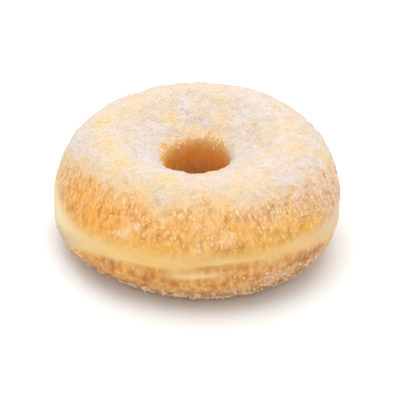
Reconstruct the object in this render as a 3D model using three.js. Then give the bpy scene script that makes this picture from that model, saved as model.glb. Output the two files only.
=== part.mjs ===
// Sugar doughnut: one yeast-raised ring of fried dough, modelled as a single
// solid. Millimetres, +Z up. The ring rests on the flat annulus that it
// settled on while it cooled; the origin is the middle of its footprint, on
// the surface it rests on.
import * as THREE from "three";

// ---- ring, as if perfectly round -----------------------------------------
const OUTER_R = 45.0; // radius at the widest line
const HEIGHT = 38.4; // base to crest
const WIDEST_Z = 14.7; // height of the widest line
const CREST_R = 27.4; // radius of the crest circle
const UPPER_FULLNESS = 2.05; // 2 is an ellipse, more is squarer
const LOWER_FULLNESS = 1.96;

// ---- hole ------------------------------------------------------------------
const SHOULDER_R = 11.0; // where the sloping top turns down into the hole
const SHOULDER_Z = 29.2;
const INNER_SLOPE_POWER = 1.28; // how late the top starts to dip
const THROAT_R = 9.3; // narrowest place
const THROAT_Z = 13.0;

// ---- flat base -------------------------------------------------------------
const BASE_OUTER_R = 31.2;
const BASE_INNER_R = 15.4;

// ---- pale waist where the two frying sides meet ------------------------------
const WAIST_Z = 17.0;
const WAIST_DEPTH = 0.35;
const WAIST_HALF = 2.4;
const WAIST_WAVE = [[2, 2.4, 278.0]]; // it runs higher at the front and back
const LIP_RISE = 0.15; // the crust stands a little proud above the waist
const WIDEST_TILT = [[1, 1.8, 10.0]]; // the widest line is lower on the -X side

// ---- one stretch of the side has slumped: slack above, full low down ----------
const SLUMP_TURN = 197.0; // middle of the stretch, degrees
const SLUMP_SPREAD = 24.0; // degrees
const SLUMP_DROP = 2.8; // how far the widest line sinks
const SLUMP_SLACK = 0.8; // how far the flank above it pulls in

// ---- a shallow dip in the rim of the hole -------------------------------------
const RIM_DIP = 1.1;
const RIM_DIP_TURN = 269.0;
const RIM_DIP_SPREAD = 20.0;
const RIM_DIP_RADII = [8.0, 14.0, 19.0]; // starts, full from, full to (gone at the crest)

// ---- unevenness of hand-cut, freely floating dough ---------------------------
const OUTLINE_LOBES = [
  // [lobes round the ring, share of the size, turned by, degrees]
  [2, 0.0237, 138.0],
  [3, 0.0122, 69.0],
  [4, 0.005, 64.0],
  [7, 0.0018, 20.0],
];
const HOLE_LOBES = [
  [2, 0.03, 20.0],
  [3, 0.022, 95.0],
  [5, 0.012, 10.0],
];
const HEIGHT_LOBES = [
  [1, 0.0122, 9.0],
  [2, 0.0029, 90.0],
  [5, 0.004, 30.0],
];

// ---- resolution --------------------------------------------------------------
const STEPS_ROUND = 96;
const STEPS_BASE = 3;
const STEPS_LOWER = 8;
const STEPS_UPPER = 14;
const STEPS_SLOPE = 5;
const STEPS_SHOULDER = 5;
const STEPS_INNER = 6;

const DEG = Math.PI / 180;

/** Sum of cosine lobes round the ring. */
function lobes(list, angle) {
  let sum = 0;
  for (const [count, share, turn] of list) {
    sum += share * Math.cos(count * (angle - turn * DEG));
  }
  return sum;
}

/** One soft bump round the ring, 1 at the angle given in degrees. */
function bump(angle, turn, spread) {
  const away = ((((angle / DEG - turn + 180) % 360) + 360) % 360) - 180;
  return Math.exp(-((away / spread) ** 2));
}

/** Quarter of a superellipse: t = 0 at (a, 0), t = 1 at (0, b). */
function quarter(t, a, b, fullness) {
  const u = (t * Math.PI) / 2;
  return [
    a * Math.pow(Math.max(Math.cos(u), 0), 2 / fullness),
    b * Math.pow(Math.max(Math.sin(u), 0), 2 / fullness),
  ];
}

/** Closed cross-section as [radius, height], base first, then up outside. */
function section() {
  const points = [];
  for (let i = 0; i < STEPS_BASE; i++) {
    const t = i / STEPS_BASE;
    points.push([BASE_INNER_R + (BASE_OUTER_R - BASE_INNER_R) * t, 0]);
  }
  for (let i = 0; i < STEPS_LOWER; i++) {
    const [a, b] = quarter(
      1 - i / STEPS_LOWER,
      OUTER_R - BASE_OUTER_R,
      WIDEST_Z,
      LOWER_FULLNESS,
    );
    points.push([BASE_OUTER_R + a, WIDEST_Z - b]);
  }
  for (let i = 0; i < STEPS_UPPER; i++) {
    const [a, b] = quarter(
      i / STEPS_UPPER,
      OUTER_R - CREST_R,
      HEIGHT - WIDEST_Z,
      UPPER_FULLNESS,
    );
    points.push([CREST_R + a, WIDEST_Z + b]);
  }
  for (let i = 0; i < STEPS_SLOPE; i++) {
    const t = i / STEPS_SLOPE;
    points.push([
      CREST_R + (SHOULDER_R - CREST_R) * t,
      HEIGHT - (HEIGHT - SHOULDER_Z) * Math.pow(t, INNER_SLOPE_POWER),
    ]);
  }
  const endSlope =
    (INNER_SLOPE_POWER * (HEIGHT - SHOULDER_Z)) / (CREST_R - SHOULDER_R);
  const turn = new THREE.QuadraticBezierCurve(
    new THREE.Vector2(SHOULDER_R, SHOULDER_Z),
    new THREE.Vector2(THROAT_R, SHOULDER_Z - endSlope * (SHOULDER_R - THROAT_R)),
    new THREE.Vector2(THROAT_R, THROAT_Z),
  );
  for (let i = 0; i < STEPS_SHOULDER; i++) {
    const p = turn.getPoint(i / STEPS_SHOULDER);
    points.push([p.x, p.y]);
  }
  for (let i = 0; i < STEPS_INNER; i++) {
    const [a, b] = quarter(
      i / STEPS_INNER,
      BASE_INNER_R - THROAT_R,
      THROAT_Z,
      LOWER_FULLNESS,
    );
    points.push([BASE_INNER_R - a, THROAT_Z - b]);
  }
  points.push([BASE_INNER_R, 0]);
  return points.map(([r, z]) => new THREE.Vector2(r, z));
}

/** Moves a point of the round ring to where the uneven dough has it. */
function uneven(radius, height, angle) {
  // Outside of the crest the outline's lobes act, and towards the hole its own.
  const outward = THREE.MathUtils.smoothstep(radius, SHOULDER_R, CREST_R);
  let r =
    radius *
    (1 +
      outward * lobes(OUTLINE_LOBES, angle) +
      (1 - outward) * lobes(HOLE_LOBES, angle));
  let z = height;
  if (radius > CREST_R) {
    const slump = bump(angle, SLUMP_TURN, SLUMP_SPREAD);
    const above = THREE.MathUtils.clamp(
      (height - WIDEST_Z) / (HEIGHT - WIDEST_Z),
      0,
      1,
    );
    r -= SLUMP_SLACK * slump * Math.sin(Math.PI * above);
    const middle = WAIST_Z + lobes(WAIST_WAVE, angle);
    const s = (height - middle) / WAIST_HALF;
    r -= WAIST_DEPTH * Math.exp(-s * s);
    const l = (height - middle - 2.2 * WAIST_HALF) / WAIST_HALF;
    r += LIP_RISE * Math.exp(-l * l);
    // The outside leans up or down with the widest line, base and crest stay.
    const between = Math.sin((Math.PI * height) / HEIGHT);
    const outer = THREE.MathUtils.smoothstep(radius, CREST_R, OUTER_R);
    z += outer * between * (lobes(WIDEST_TILT, angle) - SLUMP_DROP * slump);
  } else {
    const [from, full, fade] = RIM_DIP_RADII;
    const share =
      THREE.MathUtils.smoothstep(radius, from, full) *
      (1 - THREE.MathUtils.smoothstep(radius, fade, CREST_R)) *
      THREE.MathUtils.smoothstep(height, THROAT_Z, SHOULDER_Z);
    z -= RIM_DIP * bump(angle, RIM_DIP_TURN, RIM_DIP_SPREAD) * share;
  }
  z *= 1 + lobes(HEIGHT_LOBES, angle);
  return [r, z];
}

function ringGeometry() {
  const lathe = new THREE.LatheGeometry(section(), STEPS_ROUND);
  lathe.rotateX(Math.PI / 2); // the lathe's axis becomes +Z
  const pos = lathe.attributes.position;
  for (let i = 0; i < pos.count; i++) {
    const angle = Math.atan2(pos.getY(i), pos.getX(i));
    const radius = Math.hypot(pos.getX(i), pos.getY(i));
    const [r, z] = uneven(radius, pos.getZ(i), angle);
    pos.setXYZ(i, r * Math.cos(angle), r * Math.sin(angle), z);
  }
  // Put the middle of the footprint on the origin.
  lathe.computeBoundingBox();
  const box = lathe.boundingBox;
  lathe.translate(
    -(box.min.x + box.max.x) / 2,
    -(box.min.y + box.max.y) / 2,
    -box.min.z,
  );
  lathe.computeVertexNormals();
  return lathe;
}

const crust = new THREE.MeshStandardMaterial({
  name: "sugared_crust",
  color: 0xe9c08a,
  roughness: 0.75,
  metalness: 0.0,
});

const doughnut = new THREE.Mesh(ringGeometry(), crust);
doughnut.name = "doughnut";

const part = new THREE.Group();
part.name = "sugar_doughnut";
part.add(doughnut);

export default part;
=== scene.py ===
"""Sugar doughnut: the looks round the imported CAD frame.

The dough is one closed ring mesh with relief, the sugar is joined meshes of
crystals at true size, and all colour comes from node materials.
"""

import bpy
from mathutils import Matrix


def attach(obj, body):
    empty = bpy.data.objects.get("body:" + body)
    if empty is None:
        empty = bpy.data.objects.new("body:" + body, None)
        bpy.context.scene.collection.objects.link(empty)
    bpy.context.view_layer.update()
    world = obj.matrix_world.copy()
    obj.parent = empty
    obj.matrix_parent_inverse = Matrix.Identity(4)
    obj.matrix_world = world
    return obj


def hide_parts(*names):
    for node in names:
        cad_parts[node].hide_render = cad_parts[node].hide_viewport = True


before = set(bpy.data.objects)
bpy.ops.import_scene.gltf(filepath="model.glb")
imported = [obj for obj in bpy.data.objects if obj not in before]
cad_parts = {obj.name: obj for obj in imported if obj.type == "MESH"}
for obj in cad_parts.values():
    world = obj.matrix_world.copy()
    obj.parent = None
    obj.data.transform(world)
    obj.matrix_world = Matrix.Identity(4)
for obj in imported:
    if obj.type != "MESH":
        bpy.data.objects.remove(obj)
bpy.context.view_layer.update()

import math

import bpy
import numpy as np
from mathutils import Vector

DEG = math.pi / 180
MM = 0.001


# ---------------------------------------------------------------------------
# sizes of the ring, millimetres, the same as the solid's
# ---------------------------------------------------------------------------
OUTER_R, HEIGHT, WIDEST_Z, CREST_R = 45.0, 38.4, 14.7, 27.4
UPPER_FULLNESS, LOWER_FULLNESS = 2.05, 1.96
SHOULDER_R, SHOULDER_Z, INNER_SLOPE_POWER = 11.0, 29.2, 1.28
THROAT_R, THROAT_Z = 9.3, 13.0
BASE_OUTER_R, BASE_INNER_R = 31.2, 15.4
WAIST_Z, WAIST_DEPTH, WAIST_HALF, LIP_RISE = 17.0, 0.35, 2.4, 0.15
WAIST_WAVE = [(2, 2.4, 278.0)]
WIDEST_TILT = [(1, 1.8, 10.0)]
SLUMP_TURN, SLUMP_SPREAD, SLUMP_DROP, SLUMP_SLACK = 197.0, 24.0, 2.8, 0.8
RIM_DIP, RIM_DIP_TURN, RIM_DIP_SPREAD = 1.1, 269.0, 20.0
RIM_DIP_RADII = (8.0, 14.0, 19.0)
OUTLINE_LOBES = [(2, 0.0237, 138.0), (3, 0.0122, 69.0), (4, 0.005, 64.0), (7, 0.0018, 20.0)]
HOLE_LOBES = [(2, 0.03, 20.0), (3, 0.022, 95.0), (5, 0.012, 10.0)]
HEIGHT_LOBES = [(1, 0.0122, 9.0), (2, 0.0029, 90.0), (5, 0.004, 30.0)]

N_ROUND, N_SECTION = 430, 225


def lobes(table, angle):
    return sum(s * np.cos(n * (angle - t * DEG)) for n, s, t in table)


def smooth(x, a, b):
    t = np.clip((x - a) / (b - a), 0.0, 1.0)
    return t * t * (3 - 2 * t)


def away(angle, turn):
    return (angle / DEG - turn + 180.0) % 360.0 - 180.0


def bump(angle, turn, spread):
    return np.exp(-((away(angle, turn) / spread) ** 2))


def quarter(t, a, b, fullness):
    u = t * math.pi / 2
    return (a * np.maximum(np.cos(u), 0) ** (2 / fullness),
            b * np.maximum(np.sin(u), 0) ** (2 / fullness))


# ---------------------------------------------------------------------------
# seeded gradient noise on points in millimetres
# ---------------------------------------------------------------------------
class Noise:
    def __init__(self, seed):
        rng = np.random.default_rng(seed)
        self.perm = rng.permutation(256)
        g = rng.normal(size=(256, 3))
        self.grad = g / np.linalg.norm(g, axis=1)[:, None]

    def __call__(self, p, wavelength):
        q = np.asarray(p) / wavelength
        i = np.floor(q).astype(np.int64)
        f = q - i
        w = f * f * f * (f * (f * 6 - 15) + 10)
        total = np.zeros(q.shape[:-1])
        for dx in (0, 1):
            for dy in (0, 1):
                for dz in (0, 1):
                    h = self.perm[(i[..., 0] + dx) & 255]
                    h = self.perm[(h + i[..., 1] + dy) & 255]
                    h = self.perm[(h + i[..., 2] + dz) & 255]
                    g = self.grad[h]
                    d = g[..., 0] * (f[..., 0] - dx) + g[..., 1] * (f[..., 1] - dy) + g[..., 2] * (f[..., 2] - dz)
                    wx = w[..., 0] if dx else 1 - w[..., 0]
                    wy = w[..., 1] if dy else 1 - w[..., 1]
                    wz = w[..., 2] if dz else 1 - w[..., 2]
                    total += d * wx * wy * wz
        return total * 1.6


def fractal(noise, p, wavelength, octaves=3, gain=0.5):
    total, amp, norm = 0.0, 1.0, 0.0
    for k in range(octaves):
        total = total + amp * noise(p + 17.3 * k, wavelength / 2 ** k)
        norm += amp
        amp *= gain
    return total / norm


# ---------------------------------------------------------------------------
# the ring's surface
# ---------------------------------------------------------------------------
def dense_section(n=420):
    t = np.arange(n) / n
    rs, zs = [], []
    rs.append(BASE_INNER_R + (BASE_OUTER_R - BASE_INNER_R) * t)
    zs.append(0 * t)
    a, b = quarter(1 - t, OUTER_R - BASE_OUTER_R, WIDEST_Z, LOWER_FULLNESS)
    rs.append(BASE_OUTER_R + a)
    zs.append(WIDEST_Z - b)
    a, b = quarter(t, OUTER_R - CREST_R, HEIGHT - WIDEST_Z, UPPER_FULLNESS)
    rs.append(CREST_R + a)
    zs.append(WIDEST_Z + b)
    rs.append(CREST_R + (SHOULDER_R - CREST_R) * t)
    zs.append(HEIGHT - (HEIGHT - SHOULDER_Z) * t ** INNER_SLOPE_POWER)
    slope = INNER_SLOPE_POWER * (HEIGHT - SHOULDER_Z) / (CREST_R - SHOULDER_R)
    z1 = SHOULDER_Z - slope * (SHOULDER_R - THROAT_R)
    rs.append((1 - t) ** 2 * SHOULDER_R + 2 * t * (1 - t) * THROAT_R + t * t * THROAT_R)
    zs.append((1 - t) ** 2 * SHOULDER_Z + 2 * t * (1 - t) * z1 + t * t * THROAT_Z)
    a, b = quarter(t, BASE_INNER_R - THROAT_R, THROAT_Z, LOWER_FULLNESS)
    rs.append(BASE_INNER_R - a)
    zs.append(THROAT_Z - b)
    return np.concatenate(rs), np.concatenate(zs)


def even_section(n):
    """The section rounded over about a millimetre, in equal steps."""
    r, z = dense_section()
    d = np.hypot(np.diff(np.append(r, r[0])), np.diff(np.append(z, z[0])))
    s = np.concatenate([[0], np.cumsum(d)])
    m = 2048
    grid = np.arange(m) / m * s[-1]
    r = np.interp(grid, s, np.append(r, r[0]))
    z = np.interp(grid, s, np.append(z, z[0]))
    k = np.fft.rfftfreq(m, d=s[-1] / m)
    g = np.exp(-2 * (math.pi * k * 1.1) ** 2)
    r = np.fft.irfft(np.fft.rfft(r) * g, m)
    z = np.fft.irfft(np.fft.rfft(z) * g, m)
    at = np.arange(n) / n * m
    idx = np.arange(m + 1)
    rr = np.interp(at, idx, np.append(r, r[0]))
    zz = np.interp(at, idx, np.append(z, z[0]))
    return rr, np.maximum(zz, 0)


def uneven(r, z, a):
    o = smooth(r, SHOULDER_R, CREST_R)
    rr = r * (1 + o * lobes(OUTLINE_LOBES, a) + (1 - o) * lobes(HOLE_LOBES, a))
    out = smooth(r, CREST_R, CREST_R + 4)
    slump = bump(a, SLUMP_TURN, SLUMP_SPREAD)
    above = np.clip((z - WIDEST_Z) / (HEIGHT - WIDEST_Z), 0, 1)
    rr = rr - out * SLUMP_SLACK * slump * np.sin(math.pi * above)
    middle = WAIST_Z + lobes(WAIST_WAVE, a)
    s = (z - middle) / WAIST_HALF
    lip = (z - middle - 2.2 * WAIST_HALF) / WAIST_HALF
    rr = rr + out * (-WAIST_DEPTH * np.exp(-s * s) + LIP_RISE * np.exp(-lip * lip))
    between = np.sin(math.pi * np.clip(z / HEIGHT, 0, 1))
    q = smooth(r, CREST_R, OUTER_R)
    zz = z + q * between * (lobes(WIDEST_TILT, a) - SLUMP_DROP * slump)
    start, full, fade = RIM_DIP_RADII
    share = smooth(r, start, full) * (1 - smooth(r, fade, CREST_R)) * smooth(z, THROAT_Z, SHOULDER_Z)
    zz = zz - RIM_DIP * bump(a, RIM_DIP_TURN, RIM_DIP_SPREAD) * share
    return rr, zz * (1 + lobes(HEIGHT_LOBES, a))


def normals(p):
    du = np.roll(p, -1, 0) - np.roll(p, 1, 0)
    dv = np.roll(p, -1, 1) - np.roll(p, 1, 1)
    n = np.cross(dv, du)
    return n / np.linalg.norm(n, axis=2)[..., None]


ang = np.arange(N_ROUND) / N_ROUND * 2 * math.pi
sec_r, sec_z = even_section(N_SECTION)
A, R0 = np.meshgrid(ang, sec_r)
_, Z0 = np.meshgrid(ang, sec_z)
R1, Z1 = uneven(R0, Z0, A)
BASE = np.stack([R1 * np.cos(A), R1 * np.sin(A), Z1], -1)
lo, hi = BASE.reshape(-1, 3).min(0), BASE.reshape(-1, 3).max(0)
SHIFT = np.array([-(lo[0] + hi[0]) / 2, -(lo[1] + hi[1]) / 2, 0.0])
BASE = BASE + SHIFT
NRM = normals(BASE)
if (NRM[..., 0] * np.cos(A) + NRM[..., 1] * np.sin(A))[np.argmax(sec_r), 0] < 0:
    NRM = -NRM
print("ring box mm", (hi - lo).round(2), "shift", SHIFT.round(3))

n_a, n_b, n_c, n_d, n_e = (Noise(k) for k in (11, 23, 37, 51, 73))
flat = smooth(Z0, 0.0, 3.0)  # the base stays flat


# ---------------------------------------------------------------------------
# where the dough is pale, browned, or sugared
# ---------------------------------------------------------------------------
def lin(r, g, b):
    c = np.array([r, g, b]) / 255.0
    return np.where(c <= 0.04045, c / 12.92, ((c + 0.055) / 1.055) ** 2.4)


def mix(a, b, t):
    t = np.asarray(t)[..., None]
    return a * (1 - t) + b * t


def around(table, soften=4.0):
    """A closed curve round the ring through (degrees, value) pairs, eased."""
    at, value = zip(*sorted(table))
    v = np.interp(ang / DEG, at, value, period=360.0)
    k = np.fft.rfftfreq(N_ROUND, d=360.0 / N_ROUND)
    v = np.fft.irfft(np.fft.rfft(v) * np.exp(-2 * (math.pi * k * soften) ** 2), N_ROUND)
    return v[None, :] + 0 * Z0


def toned(table, soften=5.0):
    """Gains of red, green and blue round the ring: (degrees, r, g, b)."""
    return np.stack([around([(t[0], t[k]) for t in table], soften) for k in (1, 2, 3)], -1)


def spots(table):
    """Soft spots on the outside: (angle, height, half width deg, half height, amount)."""
    total = 0.0
    for at, h, wide, tall, amount in table:
        total = total + amount * np.exp(-((away(A, at) / wide) ** 2) - ((Z0 - h) / tall) ** 2)
    return total


def patches(table):
    """Soft patches on the top: (angle, radius, half width mm, amount)."""
    total = 0.0
    x, y = R0 * np.cos(A), R0 * np.sin(A)
    for at, r, wide, amount in table:
        d2 = (x - r * math.cos(at * DEG)) ** 2 + (y - r * math.sin(at * DEG)) ** 2
        total = np.maximum(total, amount * np.exp(-d2 / wide ** 2))
    return total


crest = int(np.argmax(sec_z))
row = np.arange(N_SECTION)[:, None] + 0 * A
inner = row > crest
outer = (row <= crest) & (R0 > CREST_R)
under = (row <= crest) & (R0 <= BASE_OUTER_R) & (Z0 < 1.0)

clump = fractal(n_e, BASE, 4.6, 3, 0.6)
blotch = fractal(n_b, BASE + 55, 10.0, 3, 0.55)
ragged = 0.9 * n_a(BASE + 31, 6.0) + 1.3 * n_c(BASE, 3.0) + 0.9 * n_d(BASE, 1.6)

# the smooth pale band that stood at the oil's surface
band_top = around([(20, 19.4), (60, 20.6), (100, 20.9), (140, 20.4), (165, 21.4), (182, 22.4), (195, 22.4),
                   (212, 22.3), (227, 21.4), (247, 21.3), (270, 21.0), (296, 20.7), (305, 20.4), (319, 19.8),
                   (337, 18.2)])
band_low = around([(20, 12.5), (60, 15.5), (100, 16.8), (140, 13.8), (170, 11.5), (190, 11.0), (201, 11.8),
                   (215, 14.4), (224, 15.6), (233, 16.3), (251, 16.4), (272, 17.0), (282, 18.0), (295, 17.6),
                   (308, 16.1), (317, 15.3), (327, 12.9), (345, 11.8)])
band_low = band_low + 0.45 * n_e(BASE, 8.0) + 0.5 * n_b(BASE, 2.6) * (0.4 + 0.6 * bump(A, 310, 40))
band_top = band_top + 0.35 * n_d(BASE, 9.0)
in_band = smooth(Z0, band_low - 1.3, band_low + 0.9) * (1 - smooth(Z0, band_top - 2.0, band_top + 2.2)) * outer

# the lower edge of the heavy sugar
edge = around([(5, 27.5), (35, 26.5), (60, 28.5), (85, 27.0), (110, 29.0), (135, 27.5), (160, 27.0), (171, 28.4),
               (184, 31.0), (192, 32.5), (204, 33.7), (212, 34.6), (222, 33.6), (231, 34.7), (235, 35.2), (240, 34.8),
               (246, 33.1), (256, 33.1), (268, 35.3), (273, 36.6), (279, 35.9), (284, 36.0), (289, 32.9), (295, 32.2),
               (302, 33.0), (308, 34.4), (312, 33.9), (317, 34.0), (324, 32.4), (329, 34.0), (336, 32.7),
               (341, 31.8), (347, 28.8)], 1.6)
deep = Z0 - edge + ragged
heavy = smooth(deep, -2.2, 1.2)
# the coat's rim, where it thins out and the crust warms it
warmth = around([(5, 0.15), (60, 0.5), (120, 0.6), (165, 0.6), (178, 0.7), (197, 1.0), (212, 1.0), (228, 1.0),
                 (242, 0.95), (258, 0.7), (272, 0.45), (288, 0.6), (302, 0.7), (317, 0.3), (332, 0.3), (347, 0.4)])
# dusted zone below the edge, deep on the +X side
reach = around([(175, 4.0), (215, 4.0), (240, 5.5), (262, 6.5), (285, 7.5), (305, 9.5), (325, 12.0), (350, 12.5),
                (20, 10.0), (60, 7.0), (100, 7.0), (140, 5.0)])
near = smooth(-deep / reach, 1.0, -0.1)

# grains on the bare flank, by side
flank = around([(165, 0.42), (178, 0.50), (189, 0.34), (200, 0.16), (212, 0.16), (222, 0.18), (232, 0.26),
                (243, 0.40), (258, 0.46), (272, 0.46), (288, 0.40), (302, 0.36), (316, 0.34), (330, 0.55),
                (350, 0.62), (25, 0.42), (60, 0.34), (100, 0.38), (140, 0.34)])
falloff = 0.22 + 0.78 * smooth(Z0, band_top + 0.5, band_top + 6.5)
side = flank * falloff * (0.45 + 1.5 * smooth(clump, -0.15, 0.45))
side = side + 0.22 * near
tufts = spots([(236, 24.6, 3.0, 1.0, 0.85), (240, 25.8, 1.8, 1.5, 0.75), (231, 24.2, 2.0, 0.8, 0.5),
               (244.0, 27.8, 1.9, 1.3, 1.0), (254, 30.4, 4.0, 1.6, 0.45), (281, 26.0, 2.6, 1.6, 0.55), (276.5, 25.3, 1.5, 1.2, 0.5),
               (270, 23.0, 1.1, 1.5, 1.0), (273, 22.6, 0.8, 0.8, 0.8), (306, 29.3, 4.0, 1.5, 0.12), (298, 27.4, 1.8, 1.2, 0.5), (284, 27.4, 1.2, 0.8, 0.4)])
side = side + tufts
side = side + spots([(328, 28.0, 8.0, 3.5, 0.20), (294, 24.5, 3.0, 1.4, 0.25),
                     (20, 24.0, 6.0, 2.0, 0.5), (48, 27.0, 8.0, 2.5, 0.5), (78, 24.6, 5.0, 1.6, 0.5),
                     (118, 26.0, 4.0, 1.8, 0.6), (150, 24.5, 5.0, 1.5, 0.5)])
browned = spots([(287, 26.2, 1.8, 1.4, 0.5), (202, 26.2, 5.0, 1.8, 0.8), (267, 23.2, 2.2, 1.3, 0.65), (285, 31.7, 3.0, 1.5, 0.7),
                 (274, 29.0, 2.4, 1.4, 0.4), (250, 29.5, 3.0, 1.5, 0.7),
                 (300, 25.6, 2.2, 1.4, 0.45), (292, 27.1, 1.8, 1.2, 0.35), (311, 23.4, 2.6, 1.3, 0.5), (234, 32.6, 3.0, 1.3, 0.4),
                 (244, 31.8, 2.6, 1.3, 0.6), (326, 28.2, 2.6, 1.4, 0.45), (205, 32.6, 3.0, 1.3, 0.35)])
side = (side + spots([(229, 30.4, 4.0, 1.7, 0.4), (280.5, 29.0, 2.4, 1.3, 0.35), (214, 31.5, 3.0, 1.4, 0.45),
                     (198, 28.8, 3.0, 1.3, 0.3), (306, 22.6, 2.4, 1.0, 0.25)])) * (1 - np.clip(browned, 0, 1))
side = side * smooth(Z0, band_top - 0.4, band_top + 2.6)
tufts = np.where(inner, 0.5, np.clip(tufts, 0, 1))

# grains picked up round the base
low = 0.04 + 0.95 * (1 - smooth(Z0 + 1.6 * n_c(BASE, 4.0), 4.4, 7.8))
low = low + 0.55 * smooth(clump, 0.0, 0.4) * (0.35 + 0.65 * bump(A, 318, 55)) * (1 - smooth(Z0, 7.0, 12.0))
low = low + spots([(299, 8.5, 7.0, 2.8, 0.9), (316, 7.6, 9.0, 3.0, 0.8), (280, 14.2, 2.4, 1.3, 0.6), (298, 13.9, 2.6, 1.0, 0.7), (255, 8.7, 3.0, 1.2, 0.3),
                   (330, 9.0, 8.0, 3.0, 0.4), (268, 10.5, 4.0, 1.4, 0.3), (205, 7.0, 7.0, 1.8, 0.3), (214, 11.4, 7.0, 2.0, 0.45),
                   (228, 9.0, 4.0, 1.2, 0.25), (30, 9.0, 12.0, 3.0, 0.5), (75, 8.0, 8.0, 2.5, 0.4),
                   (125, 9.0, 10.0, 3.0, 0.5)])
tuft = smooth(n_c(BASE + 3, 3.4) + 0.4 * n_d(BASE, 1.8), -0.25, 0.35)
low = low * (0.15 + 1.3 * tuft) * (1 - smooth(Z0, band_low - 1.4, band_low + 0.4))
cover = np.where(outer, np.maximum(heavy, np.where(Z0 > (band_top + band_low) / 2, side, low)), 0.0)
cover = np.maximum(cover, 0.0012 * in_band)

# the wall of the hole: bare from a ragged line down
wall_edge = around([(8, 27.2), (18, 27.6), (30, 28.6), (41, 29.6), (54, 29.2), (66, 29.3), (75, 29.8), (83, 30.1),
                    (90, 29.7), (99, 29.4), (107, 29.1), (117, 29.2), (127, 29.5), (137, 29.9), (149, 30.0),
                    (165, 30.1), (177, 29.8), (205, 28.6), (250, 28.0), (300, 28.2), (335, 27.6)], 3.0)
wall_deep = Z0 - wall_edge + 1.7 * n_c(BASE * [1, 1, 0.5], 2.4) + 1.1 * n_a(BASE * [1, 1, 0.6], 1.5)
hole_cover = smooth(wall_deep, -1.4, 1.2)
hole_dust = 0.55 * smooth(wall_deep, -5.5, -0.5)
hole_cover = np.maximum(hole_cover, 0.5 * hole_dust * smooth(clump, -0.1, 0.4))
hole_cover = np.maximum(hole_cover, 0.5 * (1 - smooth(Z0, 1.5, 5.0)))
cover = np.where(inner, hole_cover, cover)
cover = np.where(under, 0.0, cover)
thin = patches([(36, 17.8, 2.6, 0.8), (29, 20.5, 2.8, 0.9), (22, 18.7, 2.4, 0.9), (7, 18.7, 2.4, 0.9), (16, 20.4, 2.2, 0.7), (14, 16.4, 2.2, 0.7),
                (54, 14.0, 2.0, 0.5), (66, 17.3, 2.2, 0.5),
                (348, 20.5, 2.4, 0.9), (334, 23.4, 2.2, 0.8), (50, 23.5, 2.6, 0.8), (5, 22.5, 2.4, 0.7)])
thin = np.maximum(thin, 0.35 * smooth(blotch, 0.1, 0.5)) * smooth(np.where(inner, wall_deep, deep), 1.0, 4.0)
rim = np.where(inner, 0.8 * (1 - smooth(wall_deep, 0.3, 3.2)) * bump(A, 92, 50), warmth * (1 - smooth(deep, -0.5, 3.6)) * smooth(deep, -4.0, -1.5))
gaps = 0.35 * smooth(thin, 0.2, 1.0)
cover = np.clip(cover * (1 - 0.9 * gaps), 0, 1)

# on the top the coat is cream where it is thin and whiter where it is thick
top = np.where(inner, smooth(wall_deep, -0.6, 1.0), heavy)
cream = patches([(166, 30.1, 3.6, 1.25), (152, 26.4, 4.6, 0.6), (134, 28.5, 5.0, 0.45), (118, 18.4, 2.6, 0.9),
                 (124, 22.0, 3.4, 0.1), (90, 19.3, 3.0, 0.8), (191, 28.0, 4.2, 0.45), (219, 31.7, 3.8, 1.25), (213, 34.5, 3.0, 0.5), (230, 35.0, 3.0, 0.5),
                 (253, 30.6, 5.0, 0.55), (291, 35.0, 5.4, 0.75), (342, 32.2, 4.6, 0.7), (351, 39.6, 4.0, 1.3),
                 (70, 22.9, 2.2, 0.6), (45, 34.6, 3.2, 0.5), (7, 33.7, 4.0, 0.55), (267, 36.4, 3.0, 0.3),
                 (24, 23.0, 2.6, 0.25), (285, 16.5, 4.0, 0.8), (262, 18.0, 3.0, 0.6), (104, 36.0, 4.5, 0.5), (75, 38.0, 4.0, 0.5), (312, 31.0, 3.0, 0.4),
                 (324, 24.0, 3.2, 0.35), (289, 26.4, 4.4, 0.5), (152, 33.2, 3.4, 0.55), (119, 28.0, 3.8, 0.6), (244, 35.5, 3.0, 0.45),
                 (301, 30.6, 3.0, 0.3), (330, 22.2, 3.0, 0.4), (66, 17.3, 2.6, 0.45), (203, 26.4, 3.0, 0.45), (97, 27.4, 3.0, 0.35),
                 (111, 24.9, 2.8, 0.35), (9, 27.4, 3.0, 0.35), (36, 33.2, 3.0, 0.35), (335, 21.0, 3.0, 0.35), (90, 18.7, 2.2, 0.25)])
lilac = patches([(272, 33.6, 3.2, 0.35), (104, 26.9, 3.0, 0.35), (18, 23.4, 2.4, 0.2), (173, 17.3, 3.4, 0.9), (205, 18.2, 4.2, 1.0), (103, 21.5, 2.2, 1.0), (3, 13.8, 3.6, 1.0),
                 (33, 15.5, 3.0, 0.6), (323, 27.4, 3.6, 0.35), (49, 27.4, 4.6, 0.15), (28, 25.9, 3.0, 0.8),
                 (284, 30.1, 3.0, 0.4), (316, 37.6, 3.6, 0.8), (177, 36.0, 4.6, 0.6), (187, 37.0, 3.6, 0.5),
                 (203, 37.0, 3.4, 0.1), (229, 33.6, 3.4, 0.1), (95, 29.0, 3.4, 0.25), (340, 17.0, 3.6, 0.7),
                 (60, 33.0, 4.0, 0.5), (190, 15.5, 4.0, 1.0), (348, 13.0, 3.4, 0.9), (43, 20.5, 3.2, 1.0), (351, 25.4, 3.0, 0.5), (97, 16.4, 3.0, 0.5),
                 (132, 15.0, 3.2, 0.7), (154, 16.8, 3.2, 0.8), (335, 36.6, 4.0, 0.7), (355, 36.0, 2.8, 0.7), (124, 22.4, 3.0, 0.3)])
tint = cream - lilac + 0.85 * blotch + 0.2 * clump + 0.2 * n_d(BASE + 21, 4.2)
tint = np.clip(tint, -1, 1.25)

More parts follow.
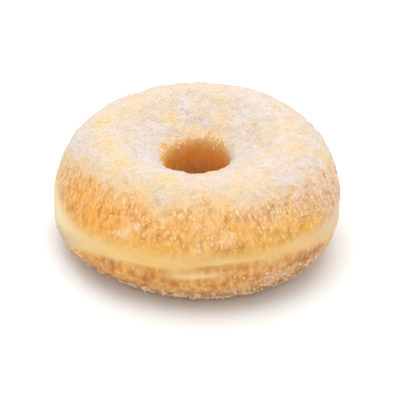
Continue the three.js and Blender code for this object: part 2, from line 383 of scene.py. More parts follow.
# ---------------------------------------------------------------------------
# relief: soft unevenness, the skin's small blisters, the sugar's own thickness
# ---------------------------------------------------------------------------
relief = 0.26 * n_a(BASE, 19.0) + 0.14 * n_b(BASE, 7.0) + 0.07 * n_c(BASE, 3.1)
crust_relief = 0.05 * n_d(BASE * [1, 1, 0.45], 1.5) + 0.05 * n_a(BASE, 2.2)
sugar_relief = -0.12 + 0.14 * n_e(BASE, 1.6) + 0.26 * n_b(BASE, 2.9) + 0.26 * n_c(BASE + 60, 4.8)
crease_at = band_low + 0.1 + 0.12 * n_c(BASE, 6.0)
crease = np.exp(-((Z0 - crease_at) / 0.42) ** 2) * (bump(A, 276, 8) + 0.3 * bump(A, 244, 7)) * outer
P = BASE + NRM * (relief * flat)[..., None]
NRM2 = normals(P)
if (NRM2 * NRM).sum(-1).mean() < 0:
    NRM2 = -NRM2
lumpy = np.where(outer & (Z0 < (band_top + band_low) / 2), 0.45, 1.0)
# towards the sides the flank is a plain pale beige, pitted between its grains
plain = around([(15, 0.8), (40, 0.45), (70, 0.3), (110, 0.3), (145, 0.4), (165, 0.7), (178, 0.7), (188, 0.45),
                (199, 0.05), (210, 0.0), (304, 0.0), (314, 0.22), (323, 0.6), (332, 0.85), (350, 0.95)])
pits = smooth(n_b(BASE * [1, 1, 0.7] + 3, 1.9), 0.12, 0.42) * np.minimum(plain + 0.3 * near, 1)
pits = pits * np.where(outer & (Z0 > band_top), 1 - smooth(deep, 0.0, 5.0), 0)
lip = bump(A, 268, 38) * inner * smooth(Z0, 23.0, 27.0) * (1 - smooth(R0, 16.0, 23.0))
drawn_in = (0.10 + 0.35 * bump(A, 226, 20)) * (1 - smooth(Z0, 8.0, 13.0)) * outer
P = P + NRM2 * (flat * ((1 - in_band) * crust_relief + lumpy * cover * sugar_relief - 0.36 * crease
                        - 0.22 * pits + lip * (0.36 + 0.35 * n_a(BASE + 90, 1.5)) - drawn_in))[..., None]
P[..., 2] = np.maximum(P[..., 2], 0)
NRM2 = normals(P)
if (NRM2 * NRM).sum(-1).mean() < 0:
    NRM2 = -NRM2

# ---------------------------------------------------------------------------
# colours
# ---------------------------------------------------------------------------
PALE = lin(233, 191, 114)
PALE_LIGHT = lin(238, 217, 172)
PALE_DULL = lin(217, 186, 148)
GOLD = lin(251, 176, 60)
AMBER = lin(238, 154, 54)
DEEP_GOLD = lin(240, 174, 60)
OLD_GOLD = lin(232, 180, 78)
PALE_SHADE = lin(196, 166, 118)
BROWN = lin(188, 118, 42)
LOWER_GOLD = lin(234, 168, 48)
DARK_BROWN = lin(156, 94, 40)
LOWER_BEIGE = lin(222, 170, 110)
WALL_TOP = lin(230, 182, 112)
WALL = lin(236, 158, 66)
WALL_DEEP = lin(206, 152, 102)
PEACH = lin(243, 192, 136)
BEIGE = lin(204, 158, 114)
FLANK_BEIGE = lin(215, 180, 144)
EDGE_CREAM = lin(236, 198, 156)
SUGARED = lin(223, 206, 190)
DUSTED_SIDE = lin(246, 198, 136)
DUSTED_RIGHT = lin(220, 184, 148)
DUSTED_BASE = lin(230, 186, 144)
DUSTED_LOW = lin(232, 180, 112)
YELLOWED = lin(230, 203, 152)
LILAC = lin(223, 212, 208)
SPECK = lin(208, 176, 150)
PIT = lin(176, 124, 82)
FOOT_BROWN = lin(190, 134, 86)
UNDERSIDE = lin(253, 170, 52)
MELTED = lin(253, 198, 108)
MELTED_BEIGE = lin(232, 200, 166)
LOWER_LIGHT = lin(240, 188, 112)
LOWER_ROSY = lin(232, 190, 144)

tone = fractal(n_c, BASE + 9, 8.0, 3, 0.55)
fleck = n_e(BASE * [1, 1, 0.5], 1.8)
mottle = 1.7 * n_c(BASE * [1, 1, 0.7] + 40, 3.2) + 1.7 * n_e(BASE * [1, 1, 0.65] + 12, 2.0)
mottle = mottle * np.where(Z0 > band_low, 0.35 + 0.65 * smooth(Z0, band_top + 1.0, band_top + 5.0), 1.0)
upper = mix(GOLD, AMBER, np.clip(0.45 + 0.9 * tone + 0.25 * fleck + 0.15 * smooth(Z0, 24, 34), 0, 1))
upper = mix(upper, DEEP_GOLD, 0.7 * (1 - smooth(Z0, band_top + 1, band_top + 5)))
upper = upper * (1 - np.array([0.16, 0.24, 0.34]) * (bump(A, 284, 7) * (1 - smooth(Z0, band_top + 1.5, band_top + 4)))[..., None])
upper = mix(upper, OLD_GOLD, 0.7 * bump(A, 306, 16) * (1 - smooth(Z0, band_top + 5, band_top + 8.5)))
beige = mix(PEACH, BEIGE, bump(A, 338, 42))
upper = mix(upper, beige, np.clip(0.75 * near * (1 - heavy) + 0.4 * smooth(side, 0.25, 0.8), 0, 1))
upper = mix(upper, PEACH, np.clip(0.35 * bump(A, 272, 8) + 0.22 * bump(A, 243, 7), 0, 1))
upper = mix(upper, upper * [0.95, 0.88, 0.72], np.clip(browned, 0, 1))
golden = spots([(317, 22.6, 7.0, 2.4, 1.0), (306, 22.0, 5.0, 1.4, 0.08), (222, 23.8, 6.0, 1.7, 0.7)])
plain = plain * (1 - np.clip(golden, 0, 1))
upper = mix(upper, FLANK_BEIGE, plain)
upper = mix(upper, lin(236, 168, 46), 0.85 * np.clip(golden, 0, 1))
upper = mix(upper, PIT, 0.75 * smooth(n_b(BASE * [1, 1, 0.7] + 3, 1.9), 0.18, 0.42) * np.minimum(plain + 0.3 * near, 1))
lower = mix(LOWER_GOLD, BROWN, np.clip(0.45 + 0.9 * tone + 0.3 * fleck + 0.35 * (1 - smooth(Z0, 2, 8)), 0, 1))
lower = mix(lower, LOWER_BEIGE, np.clip(0.55 * bump(A, 302, 12) + 0.75 * bump(A, 338, 15) + 0.5 * n_b(BASE, 5.0) * bump(A, 305, 50), 0, 1))
below = Z0 - band_low
lower = mix(lower, lin(216, 166, 118), 0.55 * (1 - smooth(Z0, 6.0, 11.0)))
# darker towards the floor between the crumb tufts: dark crust, and painted shade between the crumbs
lower = mix(lower, DARK_BROWN, 0.7 * (1 - tuft) * (1 - smooth(Z0, 5.0, 10.0)))
# the 206° term is painted shade: the lower crust on the left is darkened down to the bottom edge; the 317° term darkens
# the crust just under the band
lower = mix(lower, DARK_BROWN, np.clip(0.62 * bump(A, 317, 7) * (1 - smooth(below, -2.5, -0.5))
                                       + 0.75 * bump(A, 206, 25) * (1 - smooth(below, -8.0, 0.5)), 0, 1))
browner = np.clip(-mottle, 0, 1)
paler = np.clip(mottle, 0, 1)
upper = mix(upper, upper * [0.76, 0.70, 0.60], 0.8 * browner)
upper = mix(upper, np.minimum(upper * [1.06, 1.12, 1.26], 1), 0.9 * paler)
lower = mix(lower, lower * [0.72, 0.64, 0.52], 0.75 * browner)
lower = mix(lower, np.minimum(lower * [1.20, 1.30, 1.60], 1), 0.7 * paler)
# partly painted shade: the even drops at 197° and 212° darken the left side; the other gains set the crust's hue round
# the ring
upper = upper * toned([(182, 0.96, 1.08, 1.30), (197, 0.88, 0.89, 0.90), (212, 0.91, 0.92, 0.80), (227, 0.95, 1.0, 0.97),
                       (242, 0.98, 1.04, 1.09), (257, 0.99, 1.05, 1.08), (272, 0.96, 1.10, 1.28), (287, 0.96, 1.04, 1.22),
                       (302, 0.96, 0.99, 1.20), (317, 0.96, 0.97, 1.05), (332, 1.02, 1.08, 1.16), (347, 0.98, 1.10, 1.36),
                       (5, 1.0, 1.2, 1.5), (30, 1.0, 1.05, 1.1), (150, 1.0, 1.05, 1.1)])
lower = mix(lower, BROWN, np.clip(spots([(293, 10.4, 3.0, 1.6, 0.6), (293, 12.6, 2.2, 1.2, 0.6), (305, 14.6, 3.0, 1.3, 0.55), (266, 10.7, 3.0, 1.4, 0.5), (318, 10.2, 3.0, 1.5, 0.55), (285, 13.4, 3.0, 1.3, 0.5),
                                        (229, 7.2, 8.0, 1.6, 0.8), (273, 10.4, 3.0, 1.4, 0.4), (294, 9.2, 2.4, 1.2, 0.3)]), 0, 1))
lower = mix(lower, LOWER_BEIGE, 0.45 * bump(A, 214, 9) * smooth(below, -6.0, -3.5))
lower = lower * (1 - np.array([0.0, 0.02, 0.22]) * bump(A, 256, 10)[..., None])
# the 222° term darkens the lower-left rim towards the bottom: darker crust, and painted shade at the bottom edge
lower = mix(lower, DARK_BROWN, np.clip(0.5 * bump(A, 222, 14) * (1 - smooth(below, -8.5, -5.5))
                                       + 0.28 * bump(A, 220, 9) * (1 - smooth(below, -2.8, -0.8)), 0, 1))
paint = np.where((Z0 > (band_top + band_low) / 2)[..., None], upper, lower)
pale = mix(PALE, PALE_LIGHT, np.clip(0.25 + 0.5 * n_a(BASE, 12.0) + 0.55 * bump(A, 196, 30), 0, 1))
pale = mix(pale, PALE_DULL, 0.95 * bump(A, 338, 24))
# painted shade: the band's lower part on the left side is drawn darker with PALE_SHADE
pale = mix(pale, PALE_SHADE, 0.9 * bump(A, 196, 16) * (1 - smooth(Z0 - band_low, 1.0, 7.0)))
# the drop at 197° darkens the band's left side further, painted shade; the other gains set its hue round the ring
pale = pale * toned([(182, 0.96, 1.06, 1.25), (197, 0.93, 0.88, 0.86), (212, 0.97, 0.95, 0.98), (227, 1, 1, 1),
                     (242, 1.03, 1.03, 1.03), (257, 1.03, 1.05, 1.05), (272, 0.98, 1.0, 1.05), (287, 1, 1, 0.95),
                     (302, 1.0, 0.96, 0.88), (317, 1.02, 0.95, 0.82), (332, 1, 1, 1), (5, 1, 1, 1.1), (100, 1, 1, 1)])
pale = pale * (1 + 0.05 * n_d(BASE * [0.22, 0.22, 1.0], 1.1)[..., None])
# a second, fainter pale stretch under the front of the band
faint = np.exp(-((Z0 - band_low + 2.6) / 1.25) ** 2) * bump(A, 272, 10) * outer
faint = faint + 0.6 * np.exp(-((Z0 - band_low + 1.3) / 1.8) ** 2) * bump(A, 263, 6) * outer
paint = mix(paint, mix(PALE, PALE_LIGHT, 0.45 + 0 * Z0), np.clip(faint, 0, 1))
paint = mix(paint, pale, in_band)
paint = mix(paint, BROWN, np.clip(0.50 * crease, 0, 1))
wall = mix(WALL_DEEP, WALL, np.clip(smooth(Z0, 12, 25) + 0.3 * tone, 0, 1))
wall = mix(wall, WALL_TOP, np.clip(smooth(wall_deep, -6.0, -0.5) + 0.3 * fleck, 0, 1))
wall = mix(wall, lin(226, 186, 142), 0.5 * bump(A, 12, 17) * smooth(wall_deep, -6.0, -0.5))
paint = np.where(inner[..., None], wall, paint)
paint = np.where(under[..., None], mix(AMBER, BROWN, np.clip(0.6 + tone, 0, 1)), paint)
dusted = mix(mix(SUGARED, YELLOWED, np.clip(tint, 0, 1)), LILAC, np.clip(-tint, 0, 1))
aside = outer & (Z0 > (band_top + band_low) / 2)
pink = np.clip(0.25 + 0.8 * bump(A, 312, 38) + 0.9 * (1 - smooth(Z0, 6.0, 10.5)), 0, 1)
pink = np.where(aside, near * bump(A, 338, 42), pink)
dusted = np.where((outer & ~aside)[..., None], mix(DUSTED_LOW, DUSTED_BASE, pink), dusted)
dusted = mix(dusted, EDGE_CREAM, np.clip(0.9 * rim, 0, 1))
dusted = mix(dusted, mix(DUSTED_SIDE, DUSTED_RIGHT, bump(A, 338, 42)), (1 - smooth(deep, -4.0, 1.6)) * aside)
foot = (1 - smooth(Z0 + 1.6 * n_c(BASE, 4.0), 5.0, 9.0)) * (outer & ~aside)
# painted shade: foot_shade marks the foot just above the floor, where contact shade falls; it is painted DARK_BROWN
# there, and its crumbs are made darker and fewer
foot_shade = around([(180, 0.8), (205, 0.9), (226, 1.0), (237, 1.0), (245, 0.1), (254, 0.5), (261, 0.8), (268, 0.35), (280, 0.15),
                     (290, 0.9), (301, 1.0), (320, 1.0), (340, 0.8), (20, 0.7)], 3.0)
foot_shade = foot_shade * smooth(Z0, 1.6, 3.4) * (1 - smooth(Z0, 5.8, 8.4)) * outer
paint = mix(paint, dusted, smooth(cover, 0.35, 0.95) * 0.92 * (1 - 0.7 * foot))
paint = mix(paint, FOOT_BROWN, 0.5 * foot)
paint = mix(paint, SPECK, 0.9 * gaps)
beneath = np.where(outer, 1 - smooth(Z0, 1.3, 2.9), np.where(under, 1.0, 0.0))
paint = mix(paint, UNDERSIDE, 0.9 * beneath)
# painted shade on the foot
paint = mix(paint, DARK_BROWN, 0.92 * foot_shade)

grain_plain = np.where(inner, 0.0, plain)
dull = 0.5 * n_b(BASE + 70, 2.3) + 0.5 * n_c(BASE + 80, 4.2) + 0.06 * bump(A, 355, 60)
grain_pink = np.where(inner & (Z0 > 8), 0.0, pink)
calm = bump(A, 206, 22)
grain_thin_and_foot_shade = np.where(aside & (deep < -1.0), 0.35 * calm, thin)
# on the lower crust, grain_thin_and_foot_shade carries the foot's painted shade, which turns the crumbs there darker
grain_thin_and_foot_shade = np.where(outer & ~aside, foot_shade, grain_thin_and_foot_shade)


# ---------------------------------------------------------------------------
# meshes
# ---------------------------------------------------------------------------
def fill_mesh(me, verts, faces, is_smooth=True):
    n, k = faces.shape
    me.vertices.add(len(verts))
    me.vertices.foreach_set("co", np.ascontiguousarray(verts, np.float32).ravel())
    me.loops.add(n * k)
    me.loops.foreach_set("vertex_index", np.ascontiguousarray(faces, np.int32).ravel())
    me.polygons.add(n)
    me.polygons.foreach_set("loop_start", np.arange(0, n * k, k, dtype=np.int32))
    me.polygons.foreach_set("loop_total", np.full(n, k, np.int32))
    me.polygons.foreach_set("use_smooth", np.full(n, is_smooth, bool))
    me.update(calc_edges=True)
    me.validate()


def grid_mesh(name, pts):
    """Closed torus mesh of the grid of points, in metres, with a UV map."""
    nu, nv = pts.shape[:2]
    me = bpy.data.meshes.new(name)
    verts = (pts.reshape(-1, 3) * MM).astype(np.float32)
    i, j = np.meshgrid(np.arange(nu), np.arange(nv), indexing="ij")
    i2, j2 = (i + 1) % nu, (j + 1) % nv
    quads = np.stack([i * nv + j, i * nv + j2, i2 * nv + j2, i2 * nv + j], -1).reshape(-1, 4)
    c = verts[quads]
    n = np.cross(c[:, 1] - c[:, 0], c[:, 2] - c[:, 0])
    if (n * NRM2.reshape(-1, 3)[quads[:, 0]]).sum() < 0:
        quads = quads[:, ::-1]
        corner = [(1, 0), (1, 1), (0, 1), (0, 0)]
    else:
        corner = [(0, 0), (0, 1), (1, 1), (1, 0)]
    fill_mesh(me, verts, quads)
    uv = np.zeros((nu * nv, 4, 2), np.float32)
    for k, (di, dj) in enumerate(corner):
        uv[:, k, 0] = ((j + dj) / nv).ravel()
        uv[:, k, 1] = ((i + di) / nu).ravel()
    layer = me.uv_layers.new(name="OFBake")
    layer.data.foreach_set("uv", uv.ravel())
    ob = bpy.data.objects.new(name, me)
    bpy.context.scene.collection.objects.link(ob)
    return ob


dough = grid_mesh("dough", P)
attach(dough, "root")
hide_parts("doughnut")


def point_colour(ob, name, rgb):
    at = ob.data.color_attributes.new(name, "FLOAT_COLOR", "POINT")
    rgba = np.ones((rgb.reshape(-1, 3).shape[0], 4), np.float32)
    rgba[:, :3] = rgb.reshape(-1, 3)
    at.data.foreach_set("color", rgba.ravel())


def point_value(ob, name, v):
    at = ob.data.attributes.new(name, "FLOAT", "POINT")
    at.data.foreach_set("value", np.ascontiguousarray(v, np.float32).ravel())


# how many melted grains show on the bare crust
melt = np.where(outer & (Z0 > (band_top + band_low) / 2), 0.30 + 1.1 * side + 0.3 * near, 0.25 + 0.6 * low)
melt = np.where(inner, 0.10 + 0.6 * hole_dust, melt)
melt = np.where(under, 0.1, melt) * (1 - in_band) * (1 - smooth(cover, 0.5, 0.95))
melt = np.clip(melt * np.where(outer & (Z0 > band_low), 0.4 + 0.6 * smooth(Z0, band_top + 1.0, band_top + 5.0), 1.0), 0, 1)
point_colour(dough, "crust_paint", paint)
point_value(dough, "sugar_cover", cover)
point_value(dough, "pale_band", np.where(inner, 0.6, np.clip(in_band + faint, 0, 1)))
point_value(dough, "melted", melt)
melted_paint = mix(mix(MELTED, MELTED_BEIGE, plain), dusted, np.where(aside, 0.9 * smooth(tufts, 0.1, 0.6), 0.0))
melted_paint = np.where((outer & ~aside)[..., None], mix(LOWER_LIGHT, LOWER_ROSY, pink), melted_paint)
point_colour(dough, "melted_paint", melted_paint)


# ---------------------------------------------------------------------------
# materials
# ---------------------------------------------------------------------------
def rgba(c):
    return (float(c[0]), float(c[1]), float(c[2]), 1.0)


class Nodes:
    def __init__(self, name):
        self.mat = bpy.data.materials.new(name)
        self.mat.use_nodes = True
        self.tree = self.mat.node_tree
        self.bsdf = self.tree.nodes["Principled BSDF"]

    def add(self, kind, **settings):
        n = self.tree.nodes.new(kind)
        for k, v in settings.items():
            setattr(n, k, v)
        return n

    def link(self, a, b):
        self.tree.links.new(a, b)

    def set(self, **values):
        for k, v in values.items():
            self.bsdf.inputs[k.replace("_", " ")].default_value = v

    def where(self, stretch=None):
        out = self.add("ShaderNodeTexCoord").outputs["Object"]
        if stretch:
            m = self.add("ShaderNodeMapping")
            m.inputs["Scale"].default_value = stretch
            self.link(out, m.inputs["Vector"])
            out = m.outputs["Vector"]
        return out

    def noise(self, scale, detail=2.0, rough=0.5, stretch=None):
        n = self.add("ShaderNodeTexNoise")
        n.inputs["Scale"].default_value = scale
        n.inputs["Detail"].default_value = detail
        n.inputs["Roughness"].default_value = rough
        self.link(self.where(stretch), n.inputs["Vector"])
        return n.outputs["Fac"]

    def cells(self, scale, stretch=None):
        """Distance to the nearest seed point, and a random value for its cell."""
        n = self.add("ShaderNodeTexVoronoi", feature="F1")
        n.inputs["Scale"].default_value = scale
        self.link(self.where(stretch), n.inputs["Vector"])
        split = self.add("ShaderNodeSeparateColor")
        self.link(n.outputs["Color"], split.inputs[0])
        return n.outputs["Distance"], split.outputs[0]

    def spread(self, value, lo, hi, out_lo=0.0, out_hi=1.0):
        n = self.add("ShaderNodeMapRange")
        n.inputs["From Min"].default_value = lo
        n.inputs["From Max"].default_value = hi
        n.inputs["To Min"].default_value = out_lo
        n.inputs["To Max"].default_value = out_hi
        self.link(value, n.inputs["Value"])
        return n.outputs["Result"]

    def math(self, op, a, b):
        n = self.add("ShaderNodeMath", operation=op)
        for k, v in enumerate((a, b)):
            if isinstance(v, (int, float)):
                n.inputs[k].default_value = v
            else:
                self.link(v, n.inputs[k])
        return n.outputs[0]

    def blend(self, a, b, t, kind="MIX"):
        n = self.add("ShaderNodeMix", data_type="RGBA", blend_type=kind)
        for k, v in ((6, a), (7, b)):
            if isinstance(v, tuple):
                n.inputs[k].default_value = v
            else:
                self.link(v, n.inputs[k])
        if isinstance(t, (int, float)):
            n.inputs[0].default_value = t
        else:
            self.link(t, n.inputs[0])
        return n.outputs[2]

    def attribute(self, name, colour=False):
        n = self.add("ShaderNodeAttribute", attribute_name=name)
        return n.outputs["Color" if colour else "Fac"]


m = Nodes("dough_crust")
paint_c = m.attribute("crust_paint", True)
cover_v = m.attribute("sugar_cover")
band_v = m.attribute("pale_band")
melt_v = m.attribute("melted")
# fine browning: small blisters darker and lighter than the crust round them
fine = m.spread(m.noise(700.0, 1.5, 0.5, stretch=(1, 1, 0.5)), 0.32, 0.68)
dark = m.blend(paint_c, rgba(lin(212, 156, 104)), 0.26, "MULTIPLY")
light = m.blend(paint_c, rgba(lin(255, 226, 180)), 0.20)
varied = m.blend(dark, light, fine)
keep = m.spread(band_v, 0.0, 1.0, 1.0, 0.12)
keep = m.math("MULTIPLY", keep, m.spread(cover_v, 0.4, 1.0, 1.0, 0.2))
colour = m.blend(paint_c, varied, keep)
# grains that melted into the crust, as small clear spots taller than wide
spot_d, spot_r = m.cells(690.0, stretch=(1, 1, 0.6))
chosen = m.spread(m.math("SUBTRACT", melt_v, spot_r), -0.04, 0.04)
spot = m.math("MULTIPLY", m.spread(spot_d, 0.50, 0.24), chosen)
colour = m.blend(colour, m.attribute("melted_paint", True), m.math("MULTIPLY", spot, 0.62))
# the finest dust of sugar
dust = m.noise(2000.0, 2.0, 0.6)
limit = m.spread(cover_v, 0.0, 1.0, 0.66, 0.42)
grain = m.spread(m.math("SUBTRACT", dust, limit), -0.03, 0.06)
grain = m.math("MULTIPLY", grain, m.spread(cover_v, 0.02, 0.3, 0.0, 0.6))
colour = m.blend(colour, rgba(lin(246, 218, 182)), m.math("MULTIPLY", grain, m.spread(cover_v, 0.5, 1.0, 0.35, 0.1)))
m.link(colour, m.bsdf.inputs["Base Color"])
m.link(m.spread(fine, 0.0, 1.0, 0.62, 0.48), m.bsdf.inputs["Roughness"])
relief_n = m.add("ShaderNodeBump")
relief_n.inputs["Strength"].default_value = 0.28
relief_n.inputs["Distance"].default_value = 0.0003
h1 = m.math("MULTIPLY", m.noise(1700.0, 3.0, 0.6), m.spread(band_v, 0.0, 1.0, 0.6, 0.1))
h2 = m.math("MULTIPLY", dust, m.spread(cover_v, 0.0, 1.0, 0.0, 0.5))
h3 = m.math("MULTIPLY", spot, 0.5)
m.link(m.math("ADD", m.math("ADD", h1, h2), h3), relief_n.inputs["Height"])
m.link(relief_n.outputs["Normal"], m.bsdf.inputs["Normal"])
m.bsdf.subsurface_method = "RANDOM_WALK"
m.link(m.spread(cover_v, 0.3, 1.0, 0.6, 0.05), m.bsdf.inputs["Subsurface Weight"])
m.set( Subsurface_Radius=(1.0, 0.5, 0.2), Subsurface_Scale=0.003, Specular_IOR_Level=0.3)
dough.data.materials.append(m.mat)


def sugar_material(name, colour, rough):
    g = Nodes(name)
    g.set(Base_Color=rgba(colour), Roughness=rough, Specular_IOR_Level=0.22)
    return g.mat


TOP_RAMP = [sugar_material("sugar_top_%d" % k, lin(*c) * [0.99, 1, 1], 0.45) for k, c in enumerate(
    [(226, 217, 217), (226, 215, 208), (227, 213, 198), (229, 211, 184), (232, 207, 165), (236, 203, 154),
     (240, 198, 142), (214, 180, 150), (190, 152, 122),
     (221, 208, 204), (221, 206, 194), (222, 203, 183), (224, 202, 169), (227, 199, 153), (231, 195, 143),
     (235, 190, 132)])]
SIDE_RAMP = [sugar_material("sugar_side_%d" % k, lin(*c), 0.42) for k, c in enumerate(
    [(245, 184, 96), (248, 190, 112), (250, 199, 130), (250, 206, 150), (247, 209, 168), (242, 211, 182)])]
ROSY_RAMP = [sugar_material("sugar_rosy_%d" % k, lin(*c), 0.42) for k, c in enumerate(
    [(236, 176, 104), (236, 184, 124), (234, 192, 146), (234, 200, 166), (236, 206, 180)])]


# ---------------------------------------------------------------------------
# sugar crystals: joined small blocks at true size
# ---------------------------------------------------------------------------
def quad_areas():
    a = P
    b = np.roll(P, -1, 1)
    c = np.roll(b, -1, 0)
    d = np.roll(P, -1, 0)
    return 0.5 * np.linalg.norm(np.cross(c - a, d - b), axis=2)


AREA = quad_areas()


def scatter(rng, weight, count, fields):
    """Points and normals on the ring, by area times weight, with the fields there."""
    w = (AREA * weight).ravel()
    cum = np.cumsum(w)
    pick = np.searchsorted(cum, rng.random(count) * cum[-1])
    i, j = np.unravel_index(np.minimum(pick, w.size - 1), AREA.shape)
    s, t = rng.random(count), rng.random(count)
    i2, j2 = (i + 1) % N_SECTION, (j + 1) % N_ROUND

    def at(field):
        s_, t_ = (s[:, None], t[:, None]) if field.ndim == 3 else (s, t)
        return ((1 - s_) * ((1 - t_) * field[i, j] + t_ * field[i, j2])
                + s_ * ((1 - t_) * field[i2, j] + t_ * field[i2, j2]))

    n = at(NRM2)
    return at(P), n / np.linalg.norm(n, axis=1)[:, None], [at(f) for f in fields]


CUBE = np.array([(x, y, z) for z in (-0.5, 0.5) for y in (-0.5, 0.5) for x in (-0.5, 0.5)])
CUBE_FACES = np.array([(0, 2, 3, 1), (4, 5, 7, 6), (0, 1, 5, 4), (2, 6, 7, 3), (0, 4, 6, 2), (1, 3, 7, 5)])


def crystals(name, seed, count, weight, size, spread, sink, lift, materials, step, lean=0.5, low=0.5, taper=0.8,
             slim=0.62, along=0.0, rounded=True):
    """Sugar crystals on the surface. size in mm is the median long edge. step
    gives, from the fields at each grain, its place on the ramp of materials."""
    rng = np.random.default_rng(seed)
    pos, nor, info = scatter(rng, weight, count, [tint, cover, near, grain_pink, rim, grain_plain, tufts, grain_thin_and_foot_shade, dull])
    length = np.clip(size * np.exp(spread * rng.normal(size=count)), size * 0.45, size * 1.7)
    dims = np.stack([length, length * rng.uniform(slim, slim + 0.33, count), length * rng.uniform(low, low + 0.3, count)], 1)
    up = nor + rng.normal(size=(count, 3)) * lean
    up /= np.linalg.norm(up, axis=1)[:, None]
    across = np.cross(up, rng.normal(size=(count, 3)))
    across = across / np.linalg.norm(across, axis=1)[:, None] * (1 - along)
    down = np.array([[0.0, 0.0, -1.0]]) + up * up[:, 2:3]
    across = across + along * down
    across /= np.linalg.norm(across, axis=1)[:, None]
    frames = np.stack([across, np.cross(up, across), up], 1)  # rows are the block's axes
    corners = CUBE[None] * dims[:, None, :] * (1 + rng.uniform(-0.18, 0.18, (count, 8, 3)))
    corners[:, 4:, :2] *= taper
    world = np.einsum("nkc,ncd->nkd", corners, frames)
    offset = dims[:, 2] * (0.5 - sink) + lift * rng.random(count) ** 1.5
    v = (pos + nor * offset[:, None])[:, None, :] + world
    v[..., 2] += np.maximum(0.02 - v[..., 2].min(1), 0)[:, None]
    faces = (np.arange(count)[:, None, None] * 8 + CUBE_FACES[None]).reshape(-1, 4)
    me = bpy.data.meshes.new(name)
    fill_mesh(me, v.reshape(-1, 3) * MM, faces, rounded)
    at = step(rng.normal(size=count), *info)
    kind = np.clip(np.rint(at), 0, len(materials) - 1).astype(int)
    for mat in materials:
        me.materials.append(mat)
    me.polygons.foreach_set("material_index", np.repeat(kind, 6).astype(np.int32))
    ob = bpy.data.objects.new(name, me)
    bpy.context.scene.collection.objects.link(ob)
    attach(ob, "root")
    return ob


def by_tint(chance, t, c, d, p, r, b, u, s, q):
    plain_step = np.clip(np.maximum(2 + 2.2 * t + 3.4 * r, 0.4 + 3.4 * smooth(r, 0.05, 0.4)) + 0.15 * chance, 0, 6)
    plain_step = np.where(q + 0.07 * chance > 0.10, 9 + np.rint(plain_step), plain_step)
    s = smooth(s, 0.36, 1.0)
    return np.where(chance > 3.0 - 2.4 * s, 7.0 + (chance > 3.7 - 2.4 * s), plain_step)


def by_tint_mixed(chance, t, c, d, p, r, b, u, s, q):
    return by_tint(chance, t + 0.05 * chance, c, d, p, r, b, u, s, q + 0.2 * chance)


def flank_step(chance, t, c, d, p, r, b, u, s, q):
    w = smooth(c, 0.45, 0.9)
    own = 1.5 + 1.6 * d ** 1.2 + 0.9 * w * (1 - d) + 1.7 * u + 1.2 * r * (d <= 0) + 0.4 * chance - 3.0 * np.minimum(s, 0.35)
    rosy = 6 + 1.7 + 1.0 * d + 0.8 * w + 0.4 * chance
    return np.where(np.maximum(p, b) > 0.35 + 0.12 * chance, np.clip(rosy, 6, 10), np.clip(own, 0, 5))


# in base_step and rim_step, s darkens the crumbs with the foot's painted shade
def base_step(chance, t, c, d, p, r, b, u, s, q):
    w = smooth(c, 0.25, 0.75)
    return np.where(p > 0.45 + 0.15 * chance, np.clip(7.8 + 1.9 * w * p + 0.6 * chance - 1.8 * s, 6, 9.4),
                    np.clip(1.2 + 1.6 * w + 0.7 * chance, 0, 3))


def rim_step(chance, t, c, d, p, r, b, u, s, q):
    return np.clip(8.35 + 1.1 * smooth(c, 0.3, 0.9) * p + 1.0 * chance - 1.2 * s, 6, 9.4)


top_weight = np.where(Z0 > 20, smooth(np.where(inner, cover, 0.85 * heavy + 0.15 * near ** 2), 0.08, 0.95) * (1 - 0.2 * np.clip(tint, 0, 1)), 0)
side_weight = np.where(outer & (Z0 > (band_top + band_low) / 2), (1 - smooth(deep, -2.0, 1.0)) * cover, 0) \
    + np.where(inner & (wall_deep < 0) & (Z0 > 8), 2.0 * cover * (1 - smooth(cover, 0.8, 1.0)), 0)
base_weight = np.where(outer & (Z0 <= (band_top + band_low) / 2), cover ** 1.35, 0) + np.where(inner & (Z0 < 8), cover, 0)

side_weight = side_weight * np.where(aside, 1 - 0.5 * calm, 1)
rim_weight = base_weight * (1 - smooth(Z0, 6.0, 9.0) * (1 - 0.8 * bump(A, 308, 16))) * (0.25 + 0.75 * smooth(tuft, 0.25, 0.8)) * outer
# fewer crumbs under the foot's painted shade
base_weight = base_weight * (0.45 + 0.55 * smooth(Z0, 5.0, 9.0)) * (1 - 0.6 * foot_shade)
rim_weight = rim_weight * (1 - 0.65 * foot_shade)

print("areas mm2 top %.0f side %.0f base %.0f" % tuple((AREA * w).sum() for w in (top_weight, side_weight, base_weight)))
crystals("sugar_top_fine", 101, 16600, top_weight, 0.36, 0.22, 0.62, 0.02, TOP_RAMP, by_tint, 0.08, 0.20, 0.6)
crystals("sugar_top_coarse", 102, 16600, top_weight, 0.48, 0.25, 0.66, 0.02, TOP_RAMP, by_tint, 0.08, 0.20, 0.6)
crystals("sugar_top_large", 106, 3000, top_weight * (0.4 + 0.6 * smooth(np.where(inner, wall_deep, deep), 0.0, 3.0)), 0.86, 0.20, 0.70,
         0.0, TOP_RAMP, by_tint_mixed, 0.09, 0.20, 0.5)
crystals("sugar_side", 103, 1700, side_weight, 1.25, 0.32, 0.76, 0.0, SIDE_RAMP + ROSY_RAMP, flank_step, 0.10, 0.16, 0.5,
         0.42, 0.8, False)
crystals("sugar_base", 104, 2600, base_weight, 0.72, 0.30, 0.50, 0.04, SIDE_RAMP + ROSY_RAMP, base_step, 0.2, 0.24, 0.75,
         0.45, 0.5)
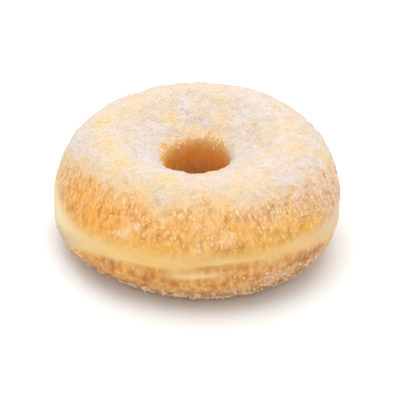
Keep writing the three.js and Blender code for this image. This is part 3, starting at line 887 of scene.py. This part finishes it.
crystals("sugar_rim", 105, 3400, rim_weight, 0.80, 0.24, 0.48, 0.04, SIDE_RAMP + ROSY_RAMP, rim_step, 0.9, 0.60, 0.7)

# ---------------------------------------------------------------------------
# floor, light, camera
# ---------------------------------------------------------------------------
me = bpy.data.meshes.new("floor")
s = 3.0
fill_mesh(me, np.array([(-s, -s, 0), (s, -s, 0), (s, s, 0), (-s, s, 0)], np.float32), np.array([[0, 1, 2, 3]]))
floor = bpy.data.objects.new("floor", me)
bpy.context.scene.collection.objects.link(floor)
fm = bpy.data.materials.new("floor_white")
fm.use_nodes = True
fm.node_tree.nodes["Principled BSDF"].inputs["Base Color"].default_value = (0.940, 0.966, 0.970, 1)
fm.node_tree.nodes["Principled BSDF"].inputs["Roughness"].default_value = 0.9
me.materials.append(fm)

scene = bpy.context.scene
scene.view_settings.view_transform = "Standard"
world = bpy.data.worlds.new("studio")
scene.world = world
world.use_nodes = True
world.node_tree.nodes["Background"].inputs["Color"].default_value = (1, 1, 1, 1)
world.node_tree.nodes["Background"].inputs["Strength"].default_value = 0.83


def area_light(name, loc, target, size, watts, color=(1, 1, 1)):
    data = bpy.data.lights.new(name, "AREA")
    data.shape = "SQUARE"
    data.size = size
    data.energy = watts
    data.color = color
    ob = bpy.data.objects.new(name, data)
    ob.location = loc
    ob.rotation_euler = (Vector(target) - Vector(loc)).to_track_quat("-Z", "Y").to_euler()
    scene.collection.objects.link(ob)
    return ob


area_light("key_above", (-0.01, 0.15, 0.88), (0, 0, 0.02), 1.05, 6.0)

ELEVATION = 32.0 * DEG
DISTANCE = 14 * 45.0 * MM
LOOK = Vector((0.0191 * 45 * MM + SHIFT[0] * MM, SHIFT[1] * MM, 0.2939 * 45 * MM))
cam_data = bpy.data.cameras.new("camera")
cam = bpy.data.objects.new("camera", cam_data)
scene.collection.objects.link(cam)
cam.location = LOOK + Vector((0, -math.cos(ELEVATION), math.sin(ELEVATION))) * DISTANCE
cam.rotation_euler = (math.pi / 2 - ELEVATION, 0, 0)
cam_data.sensor_width = 36.0
cam_data.lens = 142.6 * 14 * 36 / 400
cam_data.clip_start = 0.01
scene.camera = cam
